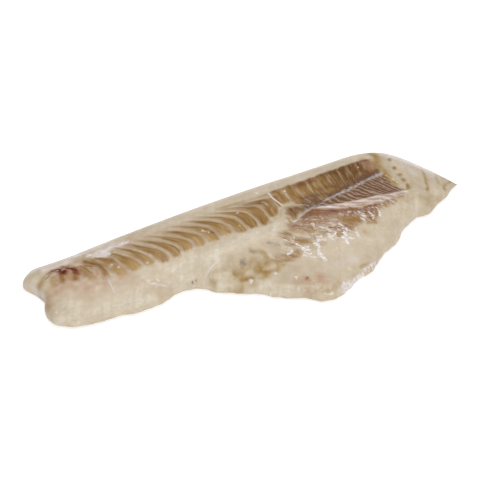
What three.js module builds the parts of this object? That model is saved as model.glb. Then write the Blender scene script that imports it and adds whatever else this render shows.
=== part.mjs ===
// A raw cod fillet without skin, sealed tightly in thin clear film that follows every face of it.
// It lies flat, skinned side up. +X runs from the tail to the nape, +Y from the belly to the back.
// Lengths are in millimetres.
import * as THREE from 'three';

// Plan of the fillet: the belly edge and the back edge, each from the tail to the nape
const bellyEdge = [
  [-189, -7], [-188.5, -11.5], [-186.5, -17.5], [-183.5, -22], [-178, -25], [-172.5, -28], [-158, -30.5],
  [-145, -30.5], [-131, -30.5], [-123, -32], [-110, -31.5], [-96.5, -28.5], [-84, -23.5], [-76, -22.5],
  [-69, -24], [-61.5, -27], [-56.5, -31.5], [-52, -36], [-39, -42], [-26.5, -48.5], [-20, -51.5],
  [-14.5, -56.5], [-3.5, -64], [3.5, -66], [10.5, -69.5], [15.5, -74.5], [21, -77.5], [35, -78.5],
  [47, -72], [60, -65], [74, -60.5], [84, -52], [92, -45.5], [102, -41], [114, -33], [123.5, -23],
  [136, -16.5], [143.5, -13], [150.5, -13.5], [157, -12], [168.5, -4], [180.5, 1.5], [186, 6], [192, 10.5],
  [195.5, 12], [199.5, 13.5],
];
const backEdge = [
  [-187.5, 46.5], [-161, 48.5], [-112, 56], [-53, 63.5], [7, 69.5], [66, 73.5], [114, 76], [146, 78],
];
const edgeLength = 430;
const edgeWaves = [{ length: 23, height: 0.5 }, { length: 9.5, height: 0.3 }];
const edgeWaveReach = 0.12;
const tailLobe = { at: 0.74, width: 0.18, length: 9.5 };
const tailNotch = { at: 0.3, width: 0.12, depth: 3 };
const tailShare = 0.07;
const napeBulge = { from: 0.82, length: 4, side: 3 };
const planCentre = [1.056, -0.579];

// Thickness: pairs of a station along the fillet and the size there
const loinThickness = [
  [-196, 12.6], [-170, 15.8], [-110, 19.9], [-50, 23.6], [40, 28.2], [110, 30], [150, 28.2], [196, 20.8],
];
const backRound = [[-190, 17], [-150, 27], [-100, 30], [60, 38], [196, 30]];
const flankReach = [[-196, 52], [-100, 48], [-70, 34], [-35, 48], [196, 60]];
const tailRound = 10;
const napeRound = { belly: 62, back: 26 };
const napeSlant = 0.55;
const rimHeight = 2.5;
const footInset = 3;

// Belly flap: the thin wall of the body cavity, which lies lower than the loin
const flapStart = [-72, -38];
const flapEnd = [150, 190];
const flapShare = [[-75, 0.34], [40, 0.34], [80, 0.44], [120, 0.55], [170, 0.7]];
const flapTop = [[-75, -16], [-45, -14], [0, -9], [30, -3], [60, -1], [90, -6], [120, -3], [150, -2]];
const flapSlope = [[-75, 16], [-20, 22], [30, 34], [90, 44], [150, 30]];
const flapLip = [[-75, 9], [30, 12], [80, 20], [150, 28]];
const flapHollow = { at: [-26, -22], width: 11, height: -1.2 };
const flapSwells = [{ at: [-2, -34], width: 12, height: 0.9 }, { at: [22, -52], width: 16, height: 1 }];

// Relief of the skinned side: a band of dark muscle along the middle, folded into segments
const bandUpper = [[-182, 24], [-165, 29], [-145, 37], [-112, 34], [-50, 39], [20, 40], [60, 43], [128, 47]];
const bandLower = [
  [-182, 14], [-157, 10], [-135, 0], [-110, -3], [-70, -2], [-48, 2], [5, 1], [24, 12], [60, 16], [125, 27],
];
const bandEdge = { lower: [-3, 3], upper: [-2, 6], ends: 12 };
const segmentPitch = [
  [-181, 9.5], [-150, 11], [-116, 13], [-92, 11.6], [-64, 11],
  [-29, 12.2], [0, 11.4], [30, 12.6], [59, 10.2], [112, 7.4],
];
const segmentSweep = [[-165, 8], [-135, 24], [-92, 28], [-22, 31], [12, 24], [30, 0], [80, -1], [104, -7]];
const segmentCurl = [[-165, 1.6], [-92, 2.1], [-22, 3.2], [12, 6], [30, 6], [80, 1]];
const firstSeptum = -181;
const lastSeptum = 112;
const segmentRelief = 0.5;
const septumGroove = {
  line: [[38, 1], [50, 6], [70, 12], [90, 16], [110, 23], [126, 26]], width: 3.2, height: -1.5,
};
const flankRidge = { line: [[-115, -14], [-60, -11], [-20, -8], [10, -4], [26, 3]], width: 9, height: 1.2 };
const lowerRidge = { line: [[52, 5], [62, 0], [75, -3], [105, -3], [142, 1]], width: 4.5, height: 1.2 };
const collarGroove = { line: [[149, 53], [142, 31], [141, 20], [143, 6]], width: 3.5, height: -0.8 };
const collarRidge = { line: [[137, 48], [134, 30], [134, 18], [137, 8]], width: 3.5, height: 0.5 };
const combFolds = {
  start: [2, 17], end: [102, 122], top: [-2, 6], bottom: [16, 24], pitch: 7.4, lean: 0.7, height: 0.6,
};
const reliefFade = [0.05, 0.3];

// Facets along and across the fillet
const stations = 160;
const across = 29;
const endCrowding = 0.2;
const curveSteps = 800;

const { clamp, smoothstep, lerp } = THREE.MathUtils;

// Value at x of a table of pairs, in straight steps from one pair to the next
function along(table, x) {
  if (x <= table[0][0]) {
    return table[0][1];
  }
  for (let i = 1; i < table.length; i += 1) {
    const [x0, value0] = table[i - 1];
    const [x1, value1] = table[i];
    if (x < x1) {
      return lerp(value0, value1, (x - x0) / (x1 - x0));
    }
  }
  return table[table.length - 1][1];
}

// Quarter round: 0 at an edge, 1 at reach from it
function dome(distance, reach) {
  const rest = 1 - clamp(distance / reach, 0, 1);
  return Math.sqrt(1 - rest * rest);
}

function bell(distance, width) {
  return Math.exp(-((distance / width) ** 2));
}

// Height of a rounded ridge, or groove where height is negative, along a line in plan
function ridge(x, y, { line, width, height }) {
  let nearest = Infinity;
  for (let i = 1; i < line.length; i += 1) {
    const [x0, y0] = line[i - 1];
    const [x1, y1] = line[i];
    const length = Math.hypot(x1 - x0, y1 - y0);
    const share = clamp(((x - x0) * (x1 - x0) + (y - y0) * (y1 - y0)) / (length * length), 0, 1);
    nearest = Math.min(nearest, Math.hypot(x - lerp(x0, x1, share), y - lerp(y0, y1, share)));
  }
  return height * bell(nearest, width);
}

function curveThrough(points) {
  const curve = new THREE.SplineCurve(points.map(([x, y]) => new THREE.Vector2(x, y)));
  curve.arcLengthDivisions = curveSteps;
  return curve;
}

const bellyCurve = curveThrough(bellyEdge);
const backCurve = curveThrough(backEdge);

// Point in plan at the share u from tail to nape and the share v from belly to back
function planPoint(u, v) {
  const belly = bellyCurve.getPointAt(u);
  const back = backCurve.getPointAt(u);
  const wave = edgeWaves.reduce(
    (sum, { length, height }) => sum + height * Math.sin((2 * Math.PI * u * edgeLength) / length),
    0,
  );
  const point = belly.clone().lerp(back, v);
  const nape = smoothstep(u, napeBulge.from, 1) * Math.sin(Math.PI * v);
  const tail = 1 - smoothstep(u, 0, tailShare);
  const lobe = tailLobe.length * bell(v - tailLobe.at, tailLobe.width);
  const notch = tailNotch.depth * bell(v - tailNotch.at, tailNotch.width);
  point.x += nape * napeBulge.length - tail * (lobe - notch);
  point.y += nape * napeBulge.side - wave * bell(v, edgeWaveReach) * Math.sin(Math.PI * u);
  return { x: point.x, y: point.y, rib: belly.distanceTo(back) };
}

// Walls between the muscle segments, as places along the lower edge of the band
const septa = [];
for (let x = firstSeptum; x < lastSeptum; x += along(segmentPitch, x)) {
  septa.push([x, septa.length]);
}

// Folds of the muscle segments, which sweep back towards the tail as they rise to the back
function segmentHeight(x, y) {
  const upper = along(bandUpper, x);
  const lower = along(bandLower, x);
  const rise = clamp((y - lower) / (upper - lower), 0, 1);
  const swept = x + along(segmentSweep, x) * rise ** along(segmentCurl, x);
  const fold = Math.cos(2 * Math.PI * along(septa, swept));
  const inBand = smoothstep(y - lower, ...bandEdge.lower) * (1 - smoothstep(y - upper, ...bandEdge.upper));
  const inLength = smoothstep(x, firstSeptum, firstSeptum + bandEdge.ends) *
    (1 - smoothstep(x, lastSeptum - bandEdge.ends, lastSeptum));
  return -segmentRelief * fold * inBand * inLength;
}

// Fine folds where the belly wall leaves the loin
function combHeight(x, y) {
  const { start, end, top, bottom, pitch, lean, height } = combFolds;
  const below = along(flapTop, x) - y;
  const inLength = smoothstep(x, ...start) * (1 - smoothstep(x, ...end));
  const inDepth = smoothstep(below, ...top) * (1 - smoothstep(below, ...bottom));
  return height * inLength * inDepth * Math.cos((2 * Math.PI * (x + lean * y)) / pitch);
}

// Height of a rounded swell, or hollow where height is negative, about a point in plan
function swell(x, y, { at, width, height }) {
  return height * bell(Math.hypot(x - at[0], y - at[1]), width);
}

// Height of the upper face above the surface that the fillet lies on
function topHeight(u, v) {
  const { x, y, rib } = planPoint(u, v);
  const back = dome((1 - v) * rib, along(backRound, x));
  const flank = dome(v * rib, along(flankReach, x));
  const flap = dome(v * rib, along(flapLip, x)) * along(flapShare, x);
  const inFlap = smoothstep(x, ...flapStart) * (1 - smoothstep(x, ...flapEnd));
  const below = smoothstep(along(flapTop, x) - y, 0, along(flapSlope, x));
  const tailEnd = dome(u * edgeLength, tailRound);
  const fromNape = (1 - u) * edgeLength * lerp(1, napeSlant, v);
  const napeEnd = dome(fromNape, lerp(napeRound.belly, napeRound.back, v));
  const body = back * lerp(flank, flap, inFlap * below) * tailEnd * napeEnd;
  const ridges = [septumGroove, flankRidge, lowerRidge, collarGroove, collarRidge];
  const swells = [flapHollow, ...flapSwells];
  const relief = segmentHeight(x, y) + combHeight(x, y) +
    ridges.reduce((sum, shape) => sum + ridge(x, y, shape), 0) +
    swells.reduce((sum, shape) => sum + swell(x, y, shape), 0);
  const rise = (along(loinThickness, x) - rimHeight) * body;
  return rimHeight + rise + relief * smoothstep(body, ...reliefFade);
}

// Top face as a grid, with facets crowded towards every edge
const shareAlong = (i) => i / stations - endCrowding * Math.sin((2 * Math.PI * i) / stations) / (2 * Math.PI);
const shareAcross = (j) => 0.5 - 0.5 * Math.cos((Math.PI * j) / across);
const topIndex = (i, j) => i * (across + 1) + j;
const positions = [];
for (let i = 0; i <= stations; i += 1) {
  for (let j = 0; j <= across; j += 1) {
    const { x, y } = planPoint(shareAlong(i), shareAcross(j));
    positions.push([x - planCentre[0], y - planCentre[1], topHeight(shareAlong(i), shareAcross(j))]);
  }
}

// Each patch of the grid is split along its shorter diagonal
const distance = (a, b) => Math.hypot(...positions[a].map((value, k) => value - positions[b][k]));
const triangles = [];
for (let i = 0; i < stations; i += 1) {
  for (let j = 0; j < across; j += 1) {
    const [a, b, c, d] = [topIndex(i, j), topIndex(i + 1, j), topIndex(i + 1, j + 1), topIndex(i, j + 1)];
    if (distance(a, c) < distance(b, d)) {
      triangles.push([a, b, c], [a, c, d]);
    } else {
      triangles.push([a, b, d], [b, c, d]);
    }
  }
}

// Rim, anticlockwise seen from above: belly edge, nape end, back edge, tail end
const rim = [];
for (let i = 0; i < stations; i += 1) {
  rim.push([i, 0]);
}
for (let j = 0; j < across; j += 1) {
  rim.push([stations, j]);
}
for (let i = stations; i > 0; i -= 1) {
  rim.push([i, across]);
}
for (let j = across; j > 0; j -= 1) {
  rim.push([0, j]);
}

// Foot: the outline of the flat underside, set in from the rim on every side
const footStart = positions.length;
const footOutline = rim.map(([i, j]) => {
  const [u, v] = [shareAlong(i), shareAcross(j)];
  const insetAlong = footInset / edgeLength;
  const insetAcross = footInset / planPoint(u, v).rib;
  const { x, y } = planPoint(lerp(insetAlong, 1 - insetAlong, u), lerp(insetAcross, 1 - insetAcross, v));
  return new THREE.Vector2(x - planCentre[0], y - planCentre[1]);
});
footOutline.forEach(({ x, y }) => positions.push([x, y, 0]));
rim.forEach(([i, j], k) => {
  const next = (k + 1) % rim.length;
  const [here, there] = [topIndex(i, j), topIndex(...rim[next])];
  triangles.push([here, footStart + k, there], [there, footStart + k, footStart + next]);
});
THREE.ShapeUtils.triangulateShape(footOutline, []).forEach(([a, b, c]) => {
  triangles.push([footStart + a, footStart + c, footStart + b]);
});

const geometry = new THREE.BufferGeometry();
geometry.setAttribute('position', new THREE.Float32BufferAttribute(positions.flat(), 3));
geometry.setIndex(triangles.flat());
geometry.computeVertexNormals();

const flesh = new THREE.MeshStandardMaterial({ color: '#cdbb9f', roughness: 0.3, metalness: 0 });
const fillet = new THREE.Mesh(geometry, flesh);
fillet.name = 'cod_fillet';

const object = new THREE.Group();
object.add(fillet);

export default object;
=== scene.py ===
import math
import bmesh
import bpy
import numpy as np
from mathutils import Matrix, Vector


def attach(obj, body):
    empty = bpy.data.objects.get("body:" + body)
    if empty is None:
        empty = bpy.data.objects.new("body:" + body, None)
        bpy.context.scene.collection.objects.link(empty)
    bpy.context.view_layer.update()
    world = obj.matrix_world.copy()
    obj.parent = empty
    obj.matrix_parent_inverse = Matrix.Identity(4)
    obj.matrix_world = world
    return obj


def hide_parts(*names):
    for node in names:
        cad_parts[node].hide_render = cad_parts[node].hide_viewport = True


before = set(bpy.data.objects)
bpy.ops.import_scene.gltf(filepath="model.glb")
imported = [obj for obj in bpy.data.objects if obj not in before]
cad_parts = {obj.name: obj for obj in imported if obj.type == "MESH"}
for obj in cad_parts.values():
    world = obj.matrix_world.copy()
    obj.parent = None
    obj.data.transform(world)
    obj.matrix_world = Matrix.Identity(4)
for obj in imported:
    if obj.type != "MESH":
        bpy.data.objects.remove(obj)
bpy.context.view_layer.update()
MM = 0.001

# Camera: seen from 23 degrees to the left of the belly side and 40 degrees up, a metre away. The aim is
# the point of the resting surface that lies in the middle of the picture.
camera_aim = Vector((-11.556, 21.979, 0)) * MM
camera_data = bpy.data.cameras.new("studio_camera")
camera_data.sensor_width = 36
camera_data.lens = 87.75


def set_up(name, data, azimuth, elevation, distance, aim):
    """Faces a camera or lamp to its aim, from so many degrees right of the belly side and above the floor."""
    turn, lift = math.radians(azimuth), math.radians(elevation)
    way = Vector((math.sin(turn) * math.cos(lift), -math.cos(turn) * math.cos(lift), math.sin(lift)))
    thing = bpy.data.objects.new(name, data)
    thing.location = aim + way * distance
    thing.rotation_euler = way.to_track_quat("Z", "Y").to_euler()
    bpy.context.collection.objects.link(thing)
    return thing


bpy.context.scene.camera = set_up(
    "studio_camera", camera_data, azimuth=-23, elevation=40, distance=1, aim=camera_aim,
)

# The fillet: one piece of raw cod, cut from the bone and skinned, which lies skinned side up by its own
# weight. The loin is thick, the belly flap thin, and the tail end is squared off.

# Its plan is spanned by two edge curves, with u from the tail to the nape and v from the belly to the back.
# Lengths are in millimetres of the plan, and plan_centre is the frame's origin there.
belly_edge = [
    (-189, -7), (-188.5, -11.5), (-186.5, -17.5), (-183.5, -22), (-178, -25), (-172.5, -28), (-158, -30.5),
    (-145, -30.5), (-131, -30.5), (-123, -32), (-110, -31.5), (-96.5, -28.5), (-84, -23.5), (-76, -22.5),
    (-69, -24), (-61.5, -27), (-56.5, -31.5), (-52, -36), (-39, -42), (-26.5, -48.5), (-20, -51.5),
    (-14.5, -56.5), (-3.5, -64), (3.5, -66), (10.5, -69.5), (15.5, -74.5), (21, -77.5), (35, -78.5),
    (47, -72), (60, -65), (74, -60.5), (84, -52), (92, -45.5), (102, -41), (114, -33), (123.5, -23),
    (136, -16.5), (143.5, -13), (150.5, -13.5), (157, -12), (168.5, -4), (180.5, 1.5), (186, 6), (192, 10.5),
    (195.5, 12), (199.5, 13.5),
]
back_edge = [
    (-187.5, 46.5), (-161, 48.5), (-112, 56), (-53, 63.5), (7, 69.5), (66, 73.5), (114, 76), (146, 78),
]
plan_centre = np.array((1.056, -0.579, 0))
edge_length = 430
loin_thickness = [
    (-196, 12.6), (-170, 15.8), (-110, 19.9), (-50, 23.6), (40, 28.2), (110, 30), (150, 28.2), (196, 20.8),
]
back_round = [(-190, 17), (-150, 27), (-100, 30), (60, 38), (196, 30)]
flank_reach = [(-196, 52), (-100, 48), (-70, 34), (-35, 48), (196, 60)]
tail_lobe_reach = 9.5
tail_notch_depth = 3
tail_round = 10
nape_bulge = (4, 3)
nape_round_belly, nape_round_back = 62, 26
edge_waves = [(0.5, 23), (0.3, 9.5)]
rim_height = 2.5
fillet_rings = [(0.8, 1.7), (1.8, 0.8), (3, 0.2)]
fillet_steps = (520, 180)
flap_share = [(-75, 0.34), (40, 0.34), (80, 0.44), (120, 0.55), (170, 0.7)]
flap_top = [(-75, -16), (-45, -14), (0, -9), (30, -3), (60, -1), (90, -6), (120, -3), (150, -2)]
flap_slope = [(-75, 16), (-20, 22), (30, 34), (90, 44), (150, 30)]
flap_lip = [(-75, 9), (30, 12), (80, 20), (150, 28)]


def smooth(value, low, high):
    share = np.clip((value - low) / (high - low), 0, 1)
    return share * share * (3 - 2 * share)


def along(table, x):
    return np.interp(x, *zip(*table))


def dome(distance, reach):
    """Quarter round: 0 at an edge, 1 at reach from it."""
    rest = 1 - np.clip(distance / reach, 0, 1)
    return np.sqrt(1 - rest * rest)


def bell(distance, width):
    return np.exp(-((distance / width) ** 2))


def edge_curve(points, steps=800):
    """Catmull-Rom curve through the points, read by the share of its length."""
    knots = np.array(points, float)
    padded = np.vstack([knots[:1], knots, knots[-1:]])

    def at(place):
        i = np.minimum(place.astype(int), len(knots) - 2)
        t = (place - i)[..., None]
        a, b, c, d = (padded[i + k] for k in range(4))
        bend = (2 * a - 5 * b + 4 * c - d) * t**2 + (3 * b - a - 3 * c + d) * t**3
        return b + ((c - a) * t + bend) / 2

    places = np.linspace(0, len(knots) - 1, steps + 1)
    runs = np.linalg.norm(np.diff(at(places), axis=0), axis=1)
    lengths = np.concatenate([[0], np.cumsum(runs)])
    return lambda share: at(np.interp(np.clip(share, 0, 1) * lengths[-1], lengths, places))


belly_curve = edge_curve(belly_edge)
back_curve = edge_curve(back_edge)


def plan_point(u, v):
    """Place in plan and length of the rib that it lies on."""
    belly, spine = belly_curve(u), back_curve(u)
    rib = np.linalg.norm(spine - belly, axis=-1)
    point = belly + (spine - belly) * v[..., None]
    wave = sum(height * np.sin(2 * np.pi * u * edge_length / length) for height, length in edge_waves)
    nape = smooth(u, 0.82, 1) * np.sin(np.pi * v)
    tail = 1 - smooth(u, 0, 0.07)
    tail_lobe = tail_lobe_reach * bell(v - 0.74, 0.18)
    tail_notch = tail_notch_depth * bell(v - 0.3, 0.12)
    x = point[..., 0] + nape_bulge[0] * nape - tail * (tail_lobe - tail_notch)
    y = point[..., 1] + nape_bulge[1] * nape - wave * bell(v, 0.12) * np.sin(np.pi * u)
    return x, y, rib


def rough(x, y, cell, seed):
    """Smooth random field between -1 and 1, its bumps about cell wide, with finer ones on them."""
    field = np.zeros(np.shape(x))
    for octave in range(3):
        lattice = np.random.default_rng(seed + octave).uniform(-1, 1, (64, 64))
        a, b = x / cell * 2**octave, y / cell * 2**octave
        i, j = np.floor(a).astype(int), np.floor(b).astype(int)
        s, t = smooth(a - i, 0, 1), smooth(b - j, 0, 1)
        low = lattice[i % 64, j % 64] * (1 - s) + lattice[(i + 1) % 64, j % 64] * s
        high = lattice[i % 64, (j + 1) % 64] * (1 - s) + lattice[(i + 1) % 64, (j + 1) % 64] * s
        field += (low * (1 - t) + high * t) / 2**octave
    return field / 1.5


def body_share(u, v, x, y, rib):
    """Height of the plain form, as a share of the loin's thickness there."""
    spine_side = dome((1 - v) * rib, along(back_round, x))
    flank = dome(v * rib, along(flank_reach, x))
    lip = along(flap_lip, x) * (1 + 0.35 * rough(x, y, 24, 71))
    flap = dome(v * rib, lip) * along(flap_share, x)
    in_flap = smooth(x, -72, -38) * (1 - smooth(x, 150, 190))
    below = smooth(along(flap_top, x) - y, 0, along(flap_slope, x))
    side = flank + (flap - flank) * in_flap * below
    tail_end = dome(u * edge_length, tail_round)
    nape_round = nape_round_belly + (nape_round_back - nape_round_belly) * v
    nape_end = dome((1 - u) * edge_length * (1 - 0.45 * v), nape_round)
    return spine_side * side * tail_end * nape_end


def line_distance(x, y, line):
    """Distance to a line through the points of a list, or to its only point."""
    nearest = np.full(np.shape(x), 1e9)
    for (x0, y0), (x1, y1) in zip(line, line[1:] or line):
        run = np.array((x1 - x0, y1 - y0))
        share = np.clip(((x - x0) * run[0] + (y - y0) * run[1]) / max(run @ run, 1e-9), 0, 1)
        nearest = np.minimum(nearest, np.hypot(x - x0 - share * run[0], y - y0 - share * run[1]))
    return nearest


# The band of dark muscle under the skin, folded into segments whose pale walls sweep back to the tail
band_upper = [
    (-182, 22), (-175, 27), (-165, 30), (-150, 35), (-140, 37), (-112, 34), (-80, 34), (-50, 38), (0, 38),
    (20, 40), (40, 41), (60, 44), (80, 45.5), (100, 46.5), (128, 48),
]
band_lower = [
    (-182, 17), (-178, 13), (-168, 11), (-157, 9), (-147, 4), (-135, 0), (-123, -2), (-110, -3), (-86, -3),
    (-64, -1), (-53, -1), (-48, 2), (-40, 1), (-25, 3), (-15, 0), (5, 1), (12, 5), (20, 9), (24, 17),
    (36, 17), (42, 8), (50, 6), (60, 8), (70, 11), (90, 15), (110, 21), (126, 25),
]
wall_places = [
    -190.5, -181, -171.5, -162.5, -151, -140, -129, -116, -103, -92, -80, -69.5, -58.5, -47, -35, -22.5, -11,
    0, 11.5, 24, 37, 48.5, 59, 69, 78.5, 88, 96, 104, 111, 119, 127, 135,
]
wall_sweep = [(-165, 8), (-135, 24), (-92, 28), (-22, 31), (12, 24), (30, 0), (80, -1), (104, -7)]
wall_curl = [(-165, 1.6), (-92, 2.1), (-22, 3.2), (12, 6), (30, 6), (80, 1)]
bar_relief = 0.5
fold_relief = 0.25
fold_spacing = 3.3
silver_line = [
    (28, -3), (38, 1), (44, 4), (50, 6), (60, 9), (67, 12), (83, 14), (97, 18), (113, 23), (126, 25.5),
]


def segments(x, y):
    """Place up the band, segments counted from the tail, and distance to the nearest wall and its pitch."""
    upper, lower = along(band_upper, x), along(band_lower, x)
    rise = (y - lower) / (upper - lower)
    swept = x + along(wall_sweep, x) * np.clip(rise, 0, 1.15) ** along(wall_curl, x)
    swept = swept - 6 * smooth(x, 36, 46) * np.exp(-np.clip(rise, 0, 2) / 0.14)
    count = np.interp(swept, wall_places, np.arange(len(wall_places)))
    pitch = np.interp(swept, wall_places[:-1], np.diff(wall_places))
    nearest = (0.5 - np.abs(count % 1 - 0.5)) * pitch
    return rise, count, nearest, pitch


def comb_phase(x, y):
    """Turns of the fine folds below the loin, which run down towards the nape."""
    fall = np.interp(x, (-20, 0, 55, 65, 75, 85, 95, 110, 130), (-8, 0, 23, 28, 34.5, 41.5, 47.5, 55.5, 64))
    return (y + fall) / fold_spacing


def flesh_relief(x, y):
    """Height of the bars, folds, grooves and swellings over the plain form, in millimetres."""
    rise, _, nearest, pitch = segments(x, y)
    in_band = smooth(rise, -0.08, 0.08) * (1 - smooth(rise, 0.94, 1.12))
    in_length = smooth(x, -181, -169) * (1 - smooth(x, 106, 118))
    relief = -bar_relief * np.cos(2 * np.pi * nearest / pitch) * in_band * in_length
    depth = along(flap_top, x) - y
    in_comb = smooth(x, -4, 12) * (1 - smooth(x, 100, 125)) * smooth(depth, -3, 4)
    comb_end = smooth(depth, np.interp(x, (60, 100), (14, 5)), np.interp(x, (60, 100), (26, 14)))
    relief += fold_relief * in_comb * (1 - comb_end) * np.cos(2 * np.pi * comb_phase(x, y))
    for width, height, *line in (
        (3, -1.5, *silver_line),
        (9, 1.2, (-115, -14), (-60, -11), (-20, -8), (10, -4), (26, 3)),
        (4.5, 1.3, (50, 5), (62, 0), (75, -3), (105, -3), (142, 1)),
        (3.5, -0.8, (149, 53), (142, 31), (141, 20), (143, 6)),
        (3.5, 0.5, (137, 48), (134, 30), (134, 18), (137, 8)),
        (11, -1.2, (-26, -22)), (12, 0.9, (-2, -34)), (16, 1, (22, -52)),
    ):
        relief += height * bell(line_distance(x, y, line), width)
    return relief


def upper_face(u, v):
    """Place in plan and height of the skinned side."""
    x, y, rib = plan_point(u, v)
    share = body_share(u, v, x, y, rib)
    height = rim_height + (along(loin_thickness, x) - rim_height) * share
    return x, y, height + flesh_relief(x, y) * smooth(share, 0.05, 0.3)


def crowded(share, pull):
    """Spaces a grid with finer steps towards both ends."""
    return share - pull * np.sin(2 * np.pi * share) / (2 * np.pi)


def wrapped_sheet(name, steps_along, steps_across, rings, place):
    """A grid over the plan, whose rim runs down the sides in rings of an inset and a height."""
    bm = bmesh.new()
    bmesh.ops.create_grid(bm, x_segments=steps_along, y_segments=steps_across, size=0.5)
    for _ in rings:
        rim = [edge for edge in bm.edges if edge.is_boundary]
        grown = bmesh.ops.extrude_edge_only(bm, edges=rim)["geom"]
        low = [item for item in grown if isinstance(item, bmesh.types.BMVert)]
        bmesh.ops.translate(bm, verts=low, vec=(0, 0, -1))
    shares = np.array([vert.co for vert in bm.verts])
    u, v = crowded(shares[:, 0] + 0.5, 0.1), crowded(shares[:, 1] + 0.5, 0.5)
    level = np.rint(-shares[:, 2]).astype(int)
    points = place(u, v)
    for ring, (inset, height) in enumerate(rings, start=1):
        here = level == ring
        spread_along, spread_across = inset / edge_length, inset / plan_point(u[here], v[here])[2]
        ring_u = spread_along + (1 - 2 * spread_along) * u[here]
        ring_v = spread_across + (1 - 2 * spread_across) * v[here]
        points[here] = place(ring_u, ring_v)
        points[here, 2] = height
    points = (points - plan_centre) * MM
    for vert, point in zip(bm.verts, points):
        vert.co = point
    bmesh.ops.triangle_fill(bm, edges=[edge for edge in bm.edges if edge.is_boundary], use_beauty=True)
    bmesh.ops.recalc_face_normals(bm, faces=bm.faces)
    mesh = bpy.data.meshes.new(name)
    bm.to_mesh(mesh)
    bm.free()
    mesh.shade_smooth()
    piece = bpy.data.objects.new(name, mesh)
    bpy.context.collection.objects.link(piece)
    return piece


def paint(piece, name, *values):
    """Keeps a share, or two places in a pattern, at each point of the mesh for the material to read."""
    if len(values) == 1:
        kept = piece.data.attributes.new(name, "FLOAT", "POINT")
        kept.data.foreach_set("value", np.clip(values[0], 0, 1).astype(np.float32))
    else:
        kept = piece.data.attributes.new(name, "FLOAT_VECTOR", "POINT")
        kept.data.foreach_set("vector", np.stack([*values, 0 * values[0]], -1).astype(np.float32).ravel())


def plan_of(piece):
    """Plan coordinates of the mesh's points, in millimetres."""
    places = np.empty(len(piece.data.vertices) * 3)
    piece.data.vertices.foreach_get("co", places)
    places = places.reshape(-1, 3) / MM + plan_centre
    return places[:, 0], places[:, 1], places[:, 2]


def strokes(x, y, *marks):
    """Brush strokes: each mark is the brush's half width, its strength and the points that it passes."""
    shade = np.zeros(np.shape(x))
    for width, strength, *line in marks:
        reach = line_distance(x, y, line)
        shade = np.maximum(shade, strength * (1 - smooth(reach, 0.35 * width, 1.4 * width)))
    return shade


def stains(x, y, *marks):
    """The same marks with soft edges, which add up where they meet."""
    bare = np.ones(np.shape(x))
    for width, strength, *line in marks:
        bare = bare * (1 - strength * bell(line_distance(x, y, line), width))
    return 1 - bare


fillet = wrapped_sheet(
    "fillet_flesh", *fillet_steps, fillet_rings, lambda u, v: np.stack(upper_face(u, v), -1),
)
x, y, z = plan_of(fillet)

# The plan three times over, each shifted a little at random, so that marks drawn on it have uneven edges:
# w for broad soft stains, b for the bars of muscle and f for the fine torn marks.
wx, wy = x + 1.5 * rough(x, y, 9, 11), y + 1.5 * rough(x, y, 9, 21)
bx, by = x + rough(x, y, 11, 31), y + rough(x, y, 11, 41)
fx, fy = x + 0.5 * rough(x, y, 5, 51), y + 0.5 * rough(x, y, 5, 61)

# Bars of dark muscle: round at the lower end, drawn out to a point at the top, parted by the pale walls.
# The five bars nearest the tail are short and stand upright, under arcs of clotted blood.
rise, counted, nearest, pitch = segments(bx, by)
middle = nearest / pitch * 2
behind = 1 - smooth(x, 10, 30)
wall_share = np.interp(x, (-130, -60, -15, 5, 45, 100), (0.35, 0.3, 0.26, 0.2, 0.2, 0.13))
wall_share += 0.13 * smooth(rise, 0.3, 0) * behind
drawn_out = smooth(rise, 0.4, 0.8) * (1 - smooth(x, -30, -5))
wall_share += (0.3 * drawn_out + 0.2 * smooth(rise, 0.75, 1.15) * (1 - drawn_out)) * behind
softness = np.interp(x, (-20, 10, 40, 100), (0.24, 0.28, 0.24, 0.2))
across_bar = smooth(middle, wall_share - softness, wall_share + softness)
left_in_wall = np.interp(x, (-130, -60, 0, 30, 60, 100), (0.4, 0.42, 0.4, 0.5, 0.6, 0.7))
left_in_wall += 0.12 * rough(x, y, 9, 81) + 0.2 * smooth(rise, 0.7, 0.3) * smooth(x, 62, 76)
low_end = smooth(rise - 0.1 * (1 - middle) ** 2 * behind + 0.06 * rough(x, y, 4, 101), -0.06, 0.11)
top_fade = np.interp(x, (10, 50), (0.68, 0.93)), np.interp(x, (-30, -14, 10, 50), (1.1, 1.2, 1.2, 1.05))
top_end = 1 - smooth(rise, *top_fade)
past_tail = smooth(counted, 5.95, 6.1)
in_length = past_tail * (1 - smooth(bx, 124, 129))
wedge = 1 - stains(
    bx, by, (3.2, 0.85, (18, 1), (23, 4), (24.5, 11), (28, 16)), (2.6, 0.8, (28, 17), (35, 17.5)),
)
bars = (left_in_wall + (1 - left_in_wall) * across_bar) * low_end * top_end * in_length * wedge
bars *= 1 - 0.45 * smooth(x, 112, 118) * smooth(y, 30, 34)
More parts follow.
